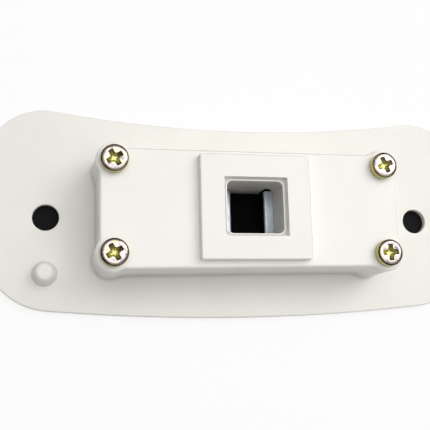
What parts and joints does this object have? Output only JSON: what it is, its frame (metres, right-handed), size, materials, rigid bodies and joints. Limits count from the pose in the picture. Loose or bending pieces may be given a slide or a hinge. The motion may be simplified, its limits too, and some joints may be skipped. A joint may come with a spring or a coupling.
{
  "type": "pull cord switch",
  "caption": "Socket half of a lanyard safety switch: a screwed box on a saddle shaped mounting plate, whose square throat takes a cord's key and opens spring clips onto snap switches.",
  "frame": {"origin": "on the back face of the mounting plate, on the axis of the square key socket", "axes": "+Z out of the socket, away from the plate's back; +X along the two mounting holes; +Y towards the plate's hollow long edge"},
  "size_m": [0.138, 0.0569, 0.0207],
  "materials": {
    "white_shell": "fine moulded satin",
    "white_lid": "fine moulded satin",
    "yellow_zinc_steel": "yellow passivated zinc plating",
    "black_base_plastic": "matt black moulding",
    "black_rubber": "soft matt rubber",
    "steel_screws": "bright zinc plating",
    "bright_spring_steel": "bright rolled strip",
    "black_switch_plastic": "glass filled moulding",
    "button_plastic": "smooth red acetal",
    "contact_alloy": "rolled beryllium copper with silver rivets",
    "terminal_brass": "tinned brass strip"
  },
  "bodies": {
    "housing": {"housing_body": "white_shell", "lid": "white_lid", "lid_screws": "yellow_zinc_steel", "contact_carrier": "black_base_plastic", "cable_grommet": "black_rubber", "switch_screws": "steel_screws", "right_switch_case": "black_switch_plastic", "right_switch_cover": "black_switch_plastic", "right_lever_pin": "bright_spring_steel", "right_common_terminal": "terminal_brass", "right_open_terminal": "terminal_brass", "right_closed_terminal": "terminal_brass", "left_switch_case": "black_switch_plastic", "left_switch_cover": "black_switch_plastic", "left_lever_pin": "bright_spring_steel", "left_common_terminal": "terminal_brass", "left_open_terminal": "terminal_brass", "left_closed_terminal": "terminal_brass"},
    "right_clip": {"right_key_clip": "bright_spring_steel"},
    "right_lever": {"right_switch_lever": "bright_spring_steel"},
    "right_button": {"right_switch_button": "button_plastic"},
    "right_blade": {"right_contact_blade": "contact_alloy"},
    "left_clip": {"left_key_clip": "bright_spring_steel"},
    "left_lever": {"left_switch_lever": "bright_spring_steel"},
    "left_button": {"left_switch_button": "button_plastic"},
    "left_blade": {"left_contact_blade": "contact_alloy"}
  },
  "joints": [
    {"name": "right_clip_flex", "type": "hinge", "parent": "housing", "child": "right_clip", "pos_m": [0.0071, 0, 0.0032], "axis": [0, 1, 0], "range_deg": [0, 12], "stiffness_Nm_per_rad": 0.04, "springref_deg": -1.15},
    {"name": "right_lever_pivot", "type": "hinge", "parent": "housing", "child": "right_lever", "pos_m": [0.0092, -0.0086, 0.007], "axis": [0, 0, -1], "range_deg": [0, 3.85]},
    {"name": "right_button_travel", "type": "slide", "parent": "housing", "child": "right_button", "axis": [1, 0, 0], "range_m": [0, 0.00041]},
    {"name": "right_blade_snap", "type": "hinge", "parent": "housing", "child": "right_blade", "pos_m": [0.0125, 0.0074, 0.007], "axis": [0, 0, 1], "range_deg": [0, 1.96]},
    {"name": "left_clip_flex", "type": "hinge", "parent": "housing", "child": "left_clip", "pos_m": [-0.0071, 0, 0.0032], "axis": [0, -1, 0], "range_deg": [0, 12], "stiffness_Nm_per_rad": 0.04, "springref_deg": -1.15},
    {"name": "left_lever_pivot", "type": "hinge", "parent": "housing", "child": "left_lever", "pos_m": [-0.0092, 0.0086, 0.007], "axis": [0, 0, -1], "range_deg": [0, 3.85]},
    {"name": "left_button_travel", "type": "slide", "parent": "housing", "child": "left_button", "axis": [-1, 0, 0], "range_m": [0, 0.00041]},
    {"name": "left_blade_snap", "type": "hinge", "parent": "housing", "child": "left_blade", "pos_m": [-0.0125, -0.0074, 0.007], "axis": [0, 0, 1], "range_deg": [0, 1.96]}
  ],
  "couplings": [
    {"joint": "right_lever_pivot", "follows": "right_clip_flex", "ratio": 0.31771},
    {"joint": "right_button_travel", "follows": "right_clip_flex", "m_per_rad": 0.001938},
    {"joint": "right_blade_snap", "follows": "right_clip_flex", "ratio": 0.16239},
    {"joint": "left_lever_pivot", "follows": "left_clip_flex", "ratio": 0.31771},
    {"joint": "left_button_travel", "follows": "left_clip_flex", "m_per_rad": 0.001938},
    {"joint": "left_blade_snap", "follows": "left_clip_flex", "ratio": 0.16239}
  ]
}
